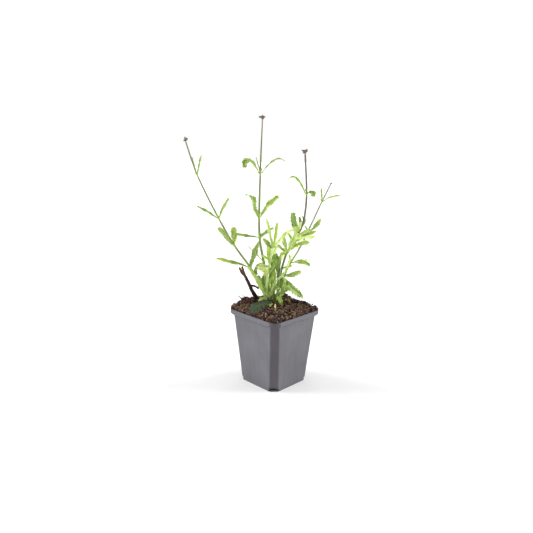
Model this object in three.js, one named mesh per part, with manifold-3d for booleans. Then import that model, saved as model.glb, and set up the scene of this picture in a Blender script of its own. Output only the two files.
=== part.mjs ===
// A young verbena in a square nursery pot. Millimetres, +Z up. The origin is the middle of
// the pot's underside, and the pot's walls face along X and Y.

import * as THREE from 'three';
import { mergeVertices } from 'three/addons/utils/BufferGeometryUtils.js';
import Module from 'manifold-3d';

const wasm = await Module();
wasm.setup();

// ---------------------------------------------------------------- driving dimensions

const POT_HEIGHT = 100;
const LIP_HALF = 45; // half the outside of the lip, flat to flat
const LIP_FACE = 5.5; // height of the lip's upright outer face
const LIP_HEIGHT = 8; // from the brim down to where the lip meets the wall
const WALL_HALF_TOP = 41.9; // half the outside of the wall just under the lip
const WALL_HALF_FOOT = 33.8;
const WALL = 1.2; // thickness of the moulding
const FLOOR = 2; // thickness of the bottom
const CORNER = 9.3; // outside corner radius of the wall
const LIP_CORNER = 11.8;
const CORNER_STEPS = 6; // facets in each quarter round
const NOTCH_HEIGHT = 4.9; // the four bottom corners are cut away this high
const SHELF = 1.6; // thickness of the moulding above a cut corner
const DRAIN_RADIUS = 4;
const DRAIN_REACH = 17; // drain holes lie this far from the middle along X and Y

const GAP = 0.35; // clear space between neighbouring solids
const MOUND_MIDDLE = new THREE.Vector2(-8, 4);
const MOUND_RISE = 3.2; // the middle of the heap over the shoulder that runs round it
const MOUND_REACH = 60;
const SOIL_EDGE = 100.4; // height of the soil along the lip
const SHOULDER_RISE = 6; // the soil rises this far a little way in from the lip

const PLANT_TURN = Math.PI / 4; // the plant's own X runs across the pot's diagonal
const LEAF_THICKNESS = 0.7;
const PETIOLE = 1.3; // width of a leaf where it leaves its stem
const TIP = 0.5; // width of a leaf's last edge
const FOLD = 0.2; // a blade's edges stand above its midrib by this part of the half width

// ---------------------------------------------------------------- materials

function material(colour, roughness) {
  return new THREE.MeshStandardMaterial({ color: colour, roughness, metalness: 0 });
}

const PLASTIC = material('#7f7d83', 0.6);
const SOIL = material('#3e2c26', 1);
const DEAD_WOOD = material('#3d2723', 0.9);
const STEM = material('#83876b', 0.6);
const SHOOT = material('#b5cf78', 0.55);
const LEAF = material('#8db445', 0.5);
const OLD_LEAF = material('#2f4a3b', 0.6);
const BUDS = material('#54404d', 0.8);

// ---------------------------------------------------------------- solids

// A closed solid through rings of points: a cylinder whose vertices are moved onto the rings.
// The rings run bottom to top, each anticlockwise as seen from the far end.
function throughRings(rings) {
  const sides = rings[0].length;
  const geometry = new THREE.CylinderGeometry(1, 1, rings.length - 1, sides, rings.length - 1);
  const place = geometry.attributes.position;
  const middles = [middleOf(rings[0]), middleOf(rings[rings.length - 1])];
  const half = (rings.length - 1) / 2;
  const p = new THREE.Vector3();
  for (let i = 0; i < place.count; i += 1) {
    p.fromBufferAttribute(place, i);
    const level = Math.round(p.y + half);
    const turn = Math.atan2(p.x, p.z) / (2 * Math.PI);
    const side = ((Math.round(turn * sides) % sides) + sides) % sides;
    const onAxis = Math.hypot(p.x, p.z) < 0.5;
    const target = onAxis ? middles[level === 0 ? 0 : 1] : rings[level][side];
    place.setXYZ(i, target.x, target.y, target.z);
  }
  return welded(geometry);
}

function middleOf(ring) {
  const sum = new THREE.Vector3();
  ring.forEach((p) => sum.add(p));
  return sum.divideScalar(ring.length);
}

// Only positions are kept, so that vertices shared by two faces become one.
function welded(geometry) {
  geometry.deleteAttribute('normal');
  geometry.deleteAttribute('uv');
  return mergeVertices(geometry, 1e-4);
}

function toManifold(geometry) {
  const vertProperties = new Float32Array(geometry.attributes.position.array);
  const triVerts = new Uint32Array(geometry.index.array);
  return new wasm.Manifold(new wasm.Mesh({ numProp: 3, vertProperties, triVerts }));
}

function fromManifold(solid) {
  const mesh = solid.getMesh();
  const geometry = new THREE.BufferGeometry();
  geometry.setAttribute('position', new THREE.BufferAttribute(mesh.vertProperties, 3));
  geometry.setIndex(new THREE.BufferAttribute(mesh.triVerts, 1));
  return geometry;
}

function joined(geometries) {
  const [first, ...others] = geometries.map(toManifold);
  let whole = first;
  for (const other of others) whole = whole.add(other);
  return fromManifold(whole);
}

function cut(geometry, cutters) {
  let whole = toManifold(geometry);
  for (const cutter of cutters) whole = whole.subtract(toManifold(cutter));
  return fromManifold(whole);
}

function named(name, geometry, look) {
  geometry.computeVertexNormals();
  const mesh = new THREE.Mesh(geometry, look);
  mesh.name = name;
  return mesh;
}

// ---------------------------------------------------------------- pot

function roundedSquare(half, radius, z) {
  const ring = [];
  for (let corner = 0; corner < 4; corner += 1) {
    const quarter = (corner * Math.PI) / 2;
    const sx = Math.sign(Math.cos(quarter + Math.PI / 4));
    const sy = Math.sign(Math.sin(quarter + Math.PI / 4));
    for (let i = 0; i <= CORNER_STEPS; i += 1) {
      const a = quarter + (i / CORNER_STEPS) * (Math.PI / 2);
      const x = sx * (half - radius) + radius * Math.cos(a);
      const y = sy * (half - radius) + radius * Math.sin(a);
      ring.push(new THREE.Vector3(x, y, z));
    }
  }
  return ring;
}

function wallHalf(z) {
  return WALL_HALF_FOOT + (WALL_HALF_TOP - WALL_HALF_FOOT) * (z / (POT_HEIGHT - LIP_HEIGHT));
}

// The space inside the pot, drawn in by the given clearance, up to the given ring heights.
function insideRings(clearance) {
  const step = POT_HEIGHT - LIP_HEIGHT + WALL;
  const slopeTop = POT_HEIGHT - LIP_FACE + WALL / 2;
  const inset = WALL + clearance;
  return [
    roundedSquare(wallHalf(FLOOR) - inset, CORNER - inset, FLOOR + clearance),
    roundedSquare(wallHalf(step) - inset, CORNER - inset, step + clearance),
    roundedSquare(LIP_HALF - inset, LIP_CORNER - inset, slopeTop + clearance),
  ];
}

function cornerBlocks(reach, top) {
  const blocks = [];
  for (const sx of [-1, 1]) {
    for (const sy of [-1, 1]) {
      const block = new THREE.BoxGeometry(40, 40, top + 10);
      block.translate(sx * (reach + 20), sy * (reach + 20), (top - 10) / 2);
      blocks.push(welded(block));
    }
  }
  return blocks;
}

function drainHoles() {
  const holes = [];
  for (const sx of [-1, 1]) {
    for (const sy of [-1, 1]) {
      const hole = new THREE.CylinderGeometry(DRAIN_RADIUS, DRAIN_RADIUS, 4 * FLOOR, 12);
      hole.rotateX(Math.PI / 2);
      hole.translate(sx * DRAIN_REACH, sy * DRAIN_REACH, FLOOR / 2);
      holes.push(welded(hole));
    }
  }
  return holes;
}

const NOTCH_REACH = WALL_HALF_FOOT - CORNER;

function pot() {
  const lipFoot = POT_HEIGHT - LIP_HEIGHT;
  const lipEdge = POT_HEIGHT - LIP_FACE;
  const outside = throughRings([
    roundedSquare(WALL_HALF_FOOT, CORNER, 0),
    roundedSquare(WALL_HALF_TOP, CORNER, lipFoot),
    roundedSquare(LIP_HALF, LIP_CORNER, lipEdge),
    roundedSquare(LIP_HALF, LIP_CORNER, POT_HEIGHT),
  ]);
  const brim = roundedSquare(LIP_HALF - WALL, LIP_CORNER - WALL, POT_HEIGHT + 5);
  const hollow = throughRings([...insideRings(0), brim]);
  const hollowAboveCorners = cut(hollow, cornerBlocks(NOTCH_REACH - WALL, NOTCH_HEIGHT + SHELF));
  const shell = cut(outside, [hollowAboveCorners]);
  return cut(shell, [...cornerBlocks(NOTCH_REACH, NOTCH_HEIGHT), ...drainHoles()]);
}

// ---------------------------------------------------------------- soil

// `share` is 1 along the lip and 0 in the middle of the pot.
function soilHeight(x, y, share) {
  const far = Math.hypot(x - MOUND_MIDDLE.x, y - MOUND_MIDDLE.y) / MOUND_REACH;
  const mound = MOUND_RISE * (1 - Math.min(far, 1) ** 2) ** 2;
  const inward = 1 - share ** 8;
  const lumps = 0.7 * Math.sin(x / 6 + 1) * Math.sin(y / 7) + 0.5 * Math.sin((x + y) / 4);
  return SOIL_EDGE + (SHOULDER_RISE + lumps) * inward + mound;
}

function soilBlock() {
  const inset = WALL + GAP;
  const rings = insideRings(GAP);
  for (const share of [1, 0.94, 0.86, 0.72, 0.56, 0.38, 0.18]) {
    const ring = roundedSquare((LIP_HALF - inset) * share, (LIP_CORNER - inset) * share, 0);
    ring.forEach((p) => p.setZ(soilHeight(p.x, p.y, share)));
    rings.push(ring);
  }
  const block = throughRings(rings);
  return cut(block, cornerBlocks(NOTCH_REACH - WALL - GAP, NOTCH_HEIGHT + SHELF + GAP));
}

// ---------------------------------------------------------------- stems

// A round, tapering stem along a smooth route, with flat ends. `grow` makes it that much
// larger all round, and longer at the foot.
function rod(route, footRadius, tipRadius, sides, steps, grow = 0) {
  const curve = new THREE.CatmullRomCurve3(route, false, 'centripetal');
  const rings = [];
  for (let i = 0; i <= steps; i += 1) {
    const t = i / steps;
    const middle = curve.getPointAt(t);
    const along = curve.getTangentAt(t);
    const across = new THREE.Vector3(0, 1, 0).cross(along).normalize();
    const other = along.clone().cross(across);
    const radius = footRadius + (tipRadius - footRadius) * t + grow;
    if (i === 0) middle.addScaledVector(along, -grow);
    const ring = [];
    for (let k = 0; k < sides; k += 1) {
      const a = (k / sides) * 2 * Math.PI;
      const p = middle.clone().addScaledVector(across, radius * Math.cos(a));
      ring.push(p.addScaledVector(other, radius * Math.sin(a)));
    }
    rings.push(ring);
  }
  return throughRings(rings);
}

function point([x, y, z]) {
  return new THREE.Vector3(x, y, z);
}

function points(list) {
  return list.map(point);
}

// Every stem in the plant's own frame: foot first, with its radius at the foot and the tip.
// The foot stands in the soil.
const STEMS = {
  centre: {
    route: points([
      [-4, 11, 100], [-9, 9, 125], [-15, 8, 161], [-21, 8, 195], [-21, 11, 278], [-19, 14, 343],
    ]),
    foot: 1.5, tip: 0.8, look: STEM,
  },
  left: {
    route: points([
      [-9, 7, 100], [-19, 1, 132], [-34, -3, 159], [-55, -8, 190], [-97, -24, 277], [-109, -30, 316],
    ]),
    foot: 1.25, tip: 0.55, look: STEM,
  },
  right: {
    route: points([
      [2, 14, 100], [7, 17, 141], [16, 20, 173], [27, 22.5, 192],
      [35.8, 24.5, 209.5], [39.4, 26.5, 232], [40, 28, 254], [37, 32, 301],
    ]),
    foot: 1.35, tip: 0.75, look: STEM,
  },
  far_right: {
    route: points([
      [5, 8, 100], [15.4, 19, 147], [33.8, 30, 178], [61.7, 34, 240.5], [71.8, 33, 262.6],
    ]),
    foot: 0.95, tip: 0.4, look: STEM,
  },
  young: {
    route: points([[-11, 2, 100], [-11, -2, 132], [-8, -6, 161], [-3, -10, 187]]),
    foot: 1.3, tip: 0.8, look: SHOOT,
  },
  side: {
    route: points([[-5, 5, 100], [-4, 2, 124], [2, -1, 139], [11, -5, 148]]),
    foot: 1.2, tip: 0.8, look: SHOOT,
  },
};

const STEM_SIDES = 8;
const STEM_STEPS = 14;

function stem(name) {
  const { route, foot, tip } = STEMS[name];
  return rod(route, foot, tip, STEM_SIDES, STEM_STEPS);
}

// The holes that the stems and the twig stand in, a gap wider than each all round.
function sockets() {
  const holes = [rod(TWIG.trunk, TWIG.foot, TWIG.end, TWIG_SIDES, TWIG_STEPS, GAP)];
  for (const { route, foot, tip } of Object.values(STEMS)) {
    holes.push(rod(route, foot, tip, STEM_SIDES, STEM_STEPS, GAP));
  }
  return holes.map((hole) => hole.rotateZ(PLANT_TURN));
}

function soil() {
  return cut(soilBlock(), sockets());
}

function stemAt(name, height) {
  const curve = new THREE.CatmullRomCurve3(STEMS[name].route, false, 'centripetal');
  let low = 0;
  let high = 1;
  for (let i = 0; i < 30; i += 1) {
    const t = (low + high) / 2;
    if (curve.getPointAt(t).z < height) low = t;
    else high = t;
  }
  const radius = STEMS[name].foot + (STEMS[name].tip - STEMS[name].foot) * low;
  return { middle: curve.getPointAt(low), radius };
}

// ---------------------------------------------------------------- dead twig

const TWIG = {
  trunk: points([[-21, 12, 98], [-30, 8, 121], [-36, 2, 137], [-41, -3, 149], [-43, -5, 158]]),
  prong: points([[-40, -2, 146], [-44, -2, 150], [-47, -1, 156]]),
  branch: points([[-33, 5, 129], [-30, 2, 131], [-26, 0, 130.5], [-21.5, -1, 128]]),
  foot: 2.5,
  fork: 1.3,
  end: 0.8,
};
const TWIG_SIDES = 8;
const TWIG_STEPS = 10;

function deadTwig() {
  return joined([
    rod(TWIG.trunk, TWIG.foot, TWIG.end, TWIG_SIDES, TWIG_STEPS),
    rod(TWIG.prong, TWIG.fork, TWIG.end, 6, 4),
    rod(TWIG.branch, 0.9, 0.6, 6, 6),
  ]);
}

// ---------------------------------------------------------------- bud heads

// A head is a tight bunch of round buds on the end of its stem.
function budHead(stemName, budRadius, buds) {
  const { route, tip } = STEMS[stemName];
  const curve = new THREE.CatmullRomCurve3(route, false, 'centripetal');
  const end = curve.getPointAt(1);
  const along = curve.getTangentAt(1);
  const pieces = [];
  for (let i = 0; i < buds; i += 1) {
    const bud = new THREE.IcosahedronGeometry(budRadius, 1);
    const around = (i * 2 * Math.PI) / (buds - 1);
    const out = i === 0 ? 0 : 1.1 * budRadius;
    const up = i === 0 ? 2.1 * budRadius : (1.25 + 0.25 * (i % 2)) * budRadius;
    const place = end.clone().addScaledVector(along, GAP + up);
    place.x += out * Math.cos(around);
    place.y += out * Math.sin(around);
    bud.translate(place.x, place.y, place.z);
    pieces.push(welded(bud));
  }
  const neck = rod(
    [end.clone().addScaledVector(along, GAP), end.clone().addScaledVector(along, GAP + 1.5 * budRadius)],
    tip, budRadius, 6, 1,
  );
  return joined([neck, ...pieces]);
}

// ---------------------------------------------------------------- leaves

// Where a leaf is wide: a narrow stalk, then a blade that is widest past its middle.
function leafWidth(share, width) {
  const swell = Math.sin(Math.PI * Math.min(share, 0.97) ** 1.4) ** 0.65;
  const stalk = PETIOLE + (TIP - PETIOLE) * share;
  return stalk + (width - PETIOLE) * swell;
}

// A leaf starts at `from`, heads out in the direction `turn` (degrees about Z), first climbs
// at `rise` degrees, and bends down by `droop` over its length and by `curl` near its tip.
// `roll` turns the blade about its midrib.
function leafSolid(from, { turn, length, width, rise, droop = 0, curl = 0, roll = 0 }) {
  const steps = droop + curl > 70 ? 13 : 9;
  const heading = THREE.MathUtils.degToRad(turn);
  const side = new THREE.Vector3(-Math.sin(heading), Math.cos(heading), 0);
  const rings = [];
  const midrib = from.clone();
  for (let i = 0; i <= steps; i += 1) {
    const share = i / steps;
    const climb = THREE.MathUtils.degToRad(
      rise - droop * share - curl * THREE.MathUtils.clamp((share - 0.6) / 0.4, 0, 1),
    );
    const out = Math.cos(climb);
    const along = point([out * Math.cos(heading), out * Math.sin(heading), Math.sin(climb)]);
    if (i > 0) midrib.addScaledVector(along, length / steps);
    const face = along.clone().cross(side).applyAxisAngle(along, THREE.MathUtils.degToRad(roll));
    const across = face.clone().cross(along);
    const half = leafWidth(share, width) / 2;
    const lift = LEAF_THICKNESS / 2;
    rings.push([
      midrib.clone().addScaledVector(across, half).addScaledVector(face, FOLD * half),
      midrib.clone().addScaledVector(face, lift),
      midrib.clone().addScaledVector(across, -half).addScaledVector(face, FOLD * half),
      midrib.clone().addScaledVector(face, -lift),
    ]);
  }
  return throughRings(rings);
}

function leafOnStem(stemName, shape) {
  const { middle, radius } = stemAt(stemName, shape.height);
  const heading = THREE.MathUtils.degToRad(shape.turn);
  const out = radius + GAP + (shape.out ?? 0.8);
  middle.x += out * Math.cos(heading);
  middle.y += out * Math.sin(heading);
  return leafSolid(middle, shape);
}

// Leaves by stem, from the top down. `height` is where each leaves its stem.
const LEAVES = {
  centre: {
    top_left: { height: 278, turn: 205, length: 34, width: 7, rise: 65, droop: 45, curl: 155, roll: -40 },
    top_right: { height: 278, turn: 15, length: 38, width: 4.5, rise: 52, droop: 20, curl: 70, roll: 20 },
    middle_left: { height: 222, turn: 225, length: 40, width: 7.5, rise: 55, droop: -40, curl: 95, roll: 5 },
    middle_right: { height: 222, turn: 30, length: 37, width: 8.5, rise: 60, droop: 30, roll: 30 },
    low_left: { height: 195, turn: 170, length: 31, width: 6, rise: 5, roll: -30 },
    low_right: { height: 195, turn: 315, length: 28, width: 6.5, rise: 45, droop: 20, roll: -30 },
    foot: { height: 161, turn: 220, length: 22, width: 8, rise: 0, droop: 95, curl: 40, roll: -15 },
  },
  left: {
    top_left: { height: 278, turn: 130, length: 22, width: 3.5, rise: 65 },
    top_right: { height: 278, turn: 305, length: 25, width: 3.5, rise: 70, droop: 10 },
    middle_left: { height: 223, turn: 165, length: 30, width: 5, rise: 30, droop: 5, roll: -30 },
    middle_right: { height: 224, turn: 320, length: 31, width: 5, rise: 65, droop: 15, roll: -20 },
    low_left: { height: 188, turn: 205, length: 30, width: 7.5, rise: 55, droop: 5, roll: 50, out: 1.2 },
    low_right: { height: 187, turn: 95, length: 27, width: 9, rise: 50 },
    foot_left: { height: 158, turn: 195, length: 44, width: 7, rise: 20, droop: 5, roll: -35 },
    foot_right: { height: 158, turn: 320, length: 38, width: 8, rise: 75, droop: 10, roll: -25 },
  },
  right: {
    top_left: { height: 251, turn: 200, length: 38, width: 5, rise: 65, droop: 20, curl: 90, roll: 40 },
    top_right: { height: 251, turn: 325, length: 13, width: 7, rise: 60, droop: 150, curl: 60, roll: 25 },
    cluster_upright: { height: 195, turn: 235, length: 34, width: 8.5, rise: 65, droop: -15, roll: 20 },
    cluster_back: { height: 196, turn: 65, length: 18, width: 7, rise: 45, droop: -15 },
    cluster_front: { height: 195, turn: 340, length: 26, width: 7, rise: 5, droop: -25, roll: 35, out: 1.2 },
    cluster_pale: { height: 190, turn: 20, length: 28, width: 8, rise: 10, droop: 10, roll: 30 },
    low_upright: { height: 173, turn: 305, length: 34, width: 10, rise: 65, droop: 10, roll: -10, out: 1.5 },
    low_back: { height: 178, turn: 50, length: 26, width: 8, rise: 40, droop: -20, roll: 20, out: 1.5 },
    low_front: { height: 180, turn: 335, length: 26, width: 7.5, rise: 38, droop: 35, roll: 55, out: 2 },
    foot_left: { height: 173, turn: 145, length: 16, width: 6, rise: 20, droop: -20, roll: -20 },
    foot_front: { height: 175, turn: 235, length: 23, width: 7, rise: 50, droop: -30, roll: 10 },
  },
  far_right: {
    top_left: { height: 241, turn: 100, length: 18, width: 3, rise: 65 },
    top_right: { height: 240, turn: 340, length: 26, width: 4, rise: 40, droop: 35, roll: 35 },
    middle: { height: 200, turn: 335, length: 24, width: 5.5, rise: 25, droop: -45, roll: -45 },
    low: { height: 158, turn: 340, length: 29, width: 8, rise: 30, droop: 70, roll: 40, out: 1.3 },
  },
  young: {
    tip_left: { height: 186, turn: 220, length: 40, width: 4, rise: 80, droop: 10, roll: 15 },
    tip_back: { height: 186, turn: 60, length: 32, width: 4.5, rise: 70, droop: -10 },
    tip_right: { height: 186, turn: 345, length: 34, width: 4, rise: 65, droop: 35, roll: 45 },
    tip_front: { height: 184, turn: 175, length: 17, width: 7, rise: 55, droop: 15, roll: -35 },
    low_back: { height: 161, turn: 95, length: 29, width: 7, rise: 70, droop: -5 },
    low_front: { height: 146, turn: 240, length: 25, width: 12, rise: 65, droop: 45, roll: 10 },
  },
  side: {
    tip_right: { height: 147, turn: 340, length: 24, width: 8, rise: 5, droop: -25, roll: 55, out: 1 },
    tip_hanging: { height: 145, turn: 20, length: 44, width: 9, rise: -60, droop: -25, roll: 70, out: 1.6 },
  },
};

// Leaves that rise from the crown: each starts at its own place near the stems' feet.
const CROWN_LEAVES = {
  left: { from: [-11, -4, 112], turn: 204, length: 56, width: 8, rise: 73, droop: 22, roll: 45 },
  front_left: { from: [-5, -6, 111], turn: 215, length: 33, width: 11, rise: 64, roll: 35 },
  front_right: { from: [1, 1, 112], turn: 300, length: 30, width: 10, rise: 62, droop: 5, roll: -30 },
  upright: { from: [3, 9, 112], turn: 315, length: 60, width: 10, rise: 85, roll: -5 },
  back_right: { from: [-1, 19, 111], turn: 40, length: 56, width: 8, rise: 82, droop: -5 },
  back: { from: [-6, 18, 111], turn: 95, length: 38, width: 11, rise: 66, droop: 10 },
  back_left: { from: [-13, 13, 111], turn: 125, length: 33, width: 9, rise: 70, droop: 25 },
  curled: { from: [0, -3, 115], turn: 300, length: 22, width: 8, rise: 50, droop: 110, curl: 25, roll: 25 },
};

// An old leaf lies flat on the soil in front of the crown.
const FALLEN_LEAF = { from: [-7, -9, 111], turn: 212, length: 32, width: 13, rise: -8, roll: -12 };

// ---------------------------------------------------------------- assembly

function plant() {
  const group = new THREE.Group();
  group.rotation.z = PLANT_TURN;
  for (const [name, { look }] of Object.entries(STEMS)) {
    group.add(named(`stem_${name}`, stem(name), look));
  }
  group.add(named('dead_twig', deadTwig(), DEAD_WOOD));
  group.add(named('head_centre', budHead('centre', 1.6, 6), BUDS));
  group.add(named('head_left', budHead('left', 1.4, 5), BUDS));
  group.add(named('head_right', budHead('right', 1.6, 6), BUDS));
  group.add(named('head_far_right', budHead('far_right', 0.8, 4), BUDS));
  for (const [stemName, leaves] of Object.entries(LEAVES)) {
    for (const [place, shape] of Object.entries(leaves)) {
      group.add(named(`leaf_${stemName}_${place}`, leafOnStem(stemName, shape), LEAF));
    }
  }
  for (const [place, shape] of Object.entries(CROWN_LEAVES)) {
    group.add(named(`leaf_crown_${place}`, leafSolid(point(shape.from), shape), LEAF));
  }
  group.add(named('leaf_old_on_soil', leafSolid(point(FALLEN_LEAF.from), FALLEN_LEAF), OLD_LEAF));
  return group;
}

const part = new THREE.Group();
part.add(named('pot', pot(), PLASTIC));
part.add(named('soil', soil(), SOIL));
part.add(plant());

export default part;
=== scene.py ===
"""A young verbena in a square grey nursery pot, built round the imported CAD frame.

Everything is in metres, +Z up. Stems and leaves follow their CAD nodes: a node's own rings
give its midline, its width and the way it faces. What is too small for the frame, such as
crumbs of soil, buds and the smallest leaves, is grown here from the same stems and soil."""

import math

import bmesh
import bpy
import numpy as np
from mathutils import Matrix, Quaternion, Vector, noise
from mathutils.bvhtree import BVHTree


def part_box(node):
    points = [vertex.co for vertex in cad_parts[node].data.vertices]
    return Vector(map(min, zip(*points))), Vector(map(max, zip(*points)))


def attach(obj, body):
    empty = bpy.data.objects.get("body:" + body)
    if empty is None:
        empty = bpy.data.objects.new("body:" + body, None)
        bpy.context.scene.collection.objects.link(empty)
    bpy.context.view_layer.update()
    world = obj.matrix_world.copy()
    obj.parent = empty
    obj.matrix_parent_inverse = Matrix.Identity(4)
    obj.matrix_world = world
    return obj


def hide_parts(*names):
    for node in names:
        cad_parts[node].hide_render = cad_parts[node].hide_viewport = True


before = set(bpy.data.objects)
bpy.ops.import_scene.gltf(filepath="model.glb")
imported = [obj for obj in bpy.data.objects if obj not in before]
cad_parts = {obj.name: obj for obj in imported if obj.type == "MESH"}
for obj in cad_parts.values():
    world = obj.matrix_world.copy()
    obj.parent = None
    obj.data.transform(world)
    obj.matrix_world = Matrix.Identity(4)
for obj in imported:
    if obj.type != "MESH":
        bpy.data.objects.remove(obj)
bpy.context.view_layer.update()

MM = 0.001
PLANT_TURN = 45  # degrees: the plant's own X runs across the pot's diagonal
GOLDEN = math.pi * (3 - math.sqrt(5))

# -------- camera, light and floor

CAMERA_TURN = 45  # degrees round the pot, from looking along +Y
CAMERA_RISE = 13.83  # degrees above the horizon
CAMERA_ROLL = 0.75
CAMERA_DISTANCE = 0.7
CAMERA_LENS = 36.1  # on a 36 mm sensor
LOOK_HEIGHT = 0.1578
LOOK_LEFT = 0.0115  # the camera looks this far to the left of the pot's axis

FLOOR_RADIUS = 6
WORLD_LIGHT = 0.2
SKY = (0.97, 0.985, 1, 1)
# Broad lights: name, degrees round from the camera's side, degrees up, strength, softness.
SUNS = [
    ("light_left", -102, 25, 4.35, 40),
    ("light_right", 102, 25, 4.05, 40),
    ("light_top", 180, 80, 0.9, 60),
]


def add_camera(scene, right, forward):
    rise = math.radians(CAMERA_RISE)
    back = -forward * math.cos(rise) + Vector((0, 0, math.sin(rise)))
    target = Vector((0, 0, LOOK_HEIGHT)) - right * LOOK_LEFT
    camera = bpy.data.objects.new("camera", bpy.data.cameras.new("camera"))
    scene.collection.objects.link(camera)
    camera.data.lens = CAMERA_LENS
    camera.data.clip_start = 0.01
    camera.rotation_mode = "QUATERNION"
    roll = Matrix.Rotation(math.radians(CAMERA_ROLL), 3, "Z").to_quaternion()
    camera.rotation_quaternion = (-back).to_track_quat("-Z", "Y") @ roll
    camera.location = target + back * CAMERA_DISTANCE
    scene.camera = camera


def add_lights(scene, right, forward):
    for name, turn, rise, strength, softness in SUNS:
        data = bpy.data.lights.new(name, "SUN")
        data.energy = strength
        data.angle = math.radians(softness)
        light = bpy.data.objects.new(name, data)
        aside, up = math.radians(turn), math.radians(rise)
        level = right * math.sin(aside) - forward * math.cos(aside)
        shine = -(level * math.cos(up) + Vector((0, 0, math.sin(up))))
        light.rotation_euler = shine.to_track_quat("-Z", "Y").to_euler()
        scene.collection.objects.link(light)


def add_world(scene):
    """A world that the camera sees as pure white, and that lights the plant more weakly."""
    scene.world = bpy.data.worlds.new("studio")
    scene.world.use_nodes = True
    tree = scene.world.node_tree
    tree.nodes.clear()
    either = tree.nodes.new("ShaderNodeMixShader")
    path = tree.nodes.new("ShaderNodeLightPath")
    tree.links.new(path.outputs["Is Camera Ray"], either.inputs[0])
    for socket, colour, strength in ((1, SKY, WORLD_LIGHT), (2, (1, 1, 1, 1), 1)):
        sky = tree.nodes.new("ShaderNodeBackground")
        sky.inputs["Color"].default_value = colour
        sky.inputs["Strength"].default_value = strength
        tree.links.new(sky.outputs[0], either.inputs[socket])
    output = tree.nodes.new("ShaderNodeOutputWorld")
    tree.links.new(either.outputs[0], output.inputs["Surface"])


def studio():
    scene = bpy.context.scene
    scene.view_settings.view_transform = "Standard"
    turn = math.radians(CAMERA_TURN)
    right = Vector((math.cos(turn), math.sin(turn), 0))
    forward = Vector((-math.sin(turn), math.cos(turn), 0))
    add_camera(scene, right, forward)
    add_lights(scene, right, forward)
    add_world(scene)
    floor = bpy.data.objects.new("floor", bpy.data.meshes.new("floor"))
    scene.collection.objects.link(floor)
    disc = bmesh.new()
    bmesh.ops.create_circle(disc, cap_ends=True, radius=FLOOR_RADIUS, segments=96)
    disc.to_mesh(floor.data)
    disc.free()
    floor.data.materials.append(floor_look())


# -------- materials

ARC_MIDDLE = 24.5 * MM  # of the pot's corner rounding, along X and Y, at its foot
WALL_LEAN = 8.1 / 92  # how far the pot's wall leans out for each unit of height


class Look:
    """A Principled material and the few node links that the looks here are made of.

    A colour is a socket or an sRGB "#rrggbb"."""

    def __init__(self, name, **sockets):
        self.material = bpy.data.materials.new(name)
        self.material.use_nodes = True
        self.tree = self.material.node_tree
        self.shader = self.tree.nodes["Principled BSDF"]
        for key, value in sockets.items():
            self.shader.inputs[key.replace("_", " ")].default_value = value

    def node(self, kind, **inputs):
        node = self.tree.nodes.new("ShaderNode" + kind)
        for key, value in inputs.items():
            self.feed(node.inputs[key], value)
        return node

    def feed(self, socket, value):
        if isinstance(value, bpy.types.NodeSocket):
            self.tree.links.new(value, socket)
        else:
            socket.default_value = rgb(value) if isinstance(value, str) else value

    def value(self, name):
        """A per-vertex value that the mesh carries."""
        node = self.node("Attribute")
        node.attribute_name = name
        return node.outputs["Fac"]

    def place(self, stretch=(1, 1, 1)):
        spot = self.node("TexCoord").outputs["Object"]
        return self.node("Mapping", Vector=spot, Scale=stretch).outputs["Vector"]

    def noise(self, size, detail=3.0, stretch=(1, 1, 1)):
        """Smooth noise whose blotches are `size` metres across, from 0 to 1."""
        node = self.node("TexNoise", Vector=self.place(stretch), Scale=1 / size, Detail=detail)
        return node.outputs["Fac"]

    def cells(self, size):
        node = self.node("TexVoronoi", Vector=self.place(), Scale=1 / size)
        node.feature = "DISTANCE_TO_EDGE"
        return node.outputs["Distance"]

    def math(self, operation, first, second=0.0):
        node = self.node("Math")
        node.operation = operation
        self.feed(node.inputs[0], first)
        self.feed(node.inputs[1], second)
        return node.outputs[0]

    def plus(self, first, second):
        return self.math("ADD", first, second)

    def times(self, first, second):
        return self.math("MULTIPLY", first, second)

    def spread(self, value, low, high, start=0.0, end=1.0):
        """`value` from start to end, moved to low to high and kept there."""
        ends = {"From Min": start, "From Max": end, "To Min": low, "To Max": high}
        return self.node("MapRange", Value=value, **ends).outputs["Result"]

    def ramp(self, value, *stops):
        """A colour ramp: stops are (position, "#rrggbb")."""
        node = self.node("ValToRGB", Fac=value)
        points = node.color_ramp.elements
        while len(points) < len(stops):
            points.new(1.0)
        for point, (position, colour) in zip(points, stops):
            point.position = position
            point.color = rgb(colour)
        return node.outputs["Color"]

    def toned(self, noise, share, stops):
        """A ramp over the mesh's own tone, which the noise shifts by up to half the share."""
        blotch = self.times(self.math("SUBTRACT", noise, 0.5), share)
        return self.ramp(self.plus(self.value("tone"), blotch), *stops)

    def mix(self, share, first, second, kind="MIX"):
        node = self.node("Mix")
        node.data_type = "RGBA"
        node.blend_type = kind
        for socket, value in ((0, share), (6, first), (7, second)):
            self.feed(node.inputs[socket], value)
        return node.outputs[2]

    def tint(self, base, name, share, colour):
        """The base, moved up to `share` of the way to the colour by a value of the mesh."""
        return self.mix(self.times(self.value(name), share), base, colour)

    def colour(self, colour):
        self.feed(self.shader.inputs["Base Color"], colour)

    def roughness(self, size, low, high):
        """Roughness from low to high, in blotches `size` metres across."""
        blotch = self.spread(self.noise(size), low, high, 0.3, 0.7)
        self.feed(self.shader.inputs["Roughness"], blotch)

    def bump(self, height, depth, strength=1.0):
        node = self.node("Bump", Height=height, Distance=depth, Strength=strength)
        self.feed(self.shader.inputs["Normal"], node.outputs["Normal"])


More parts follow.
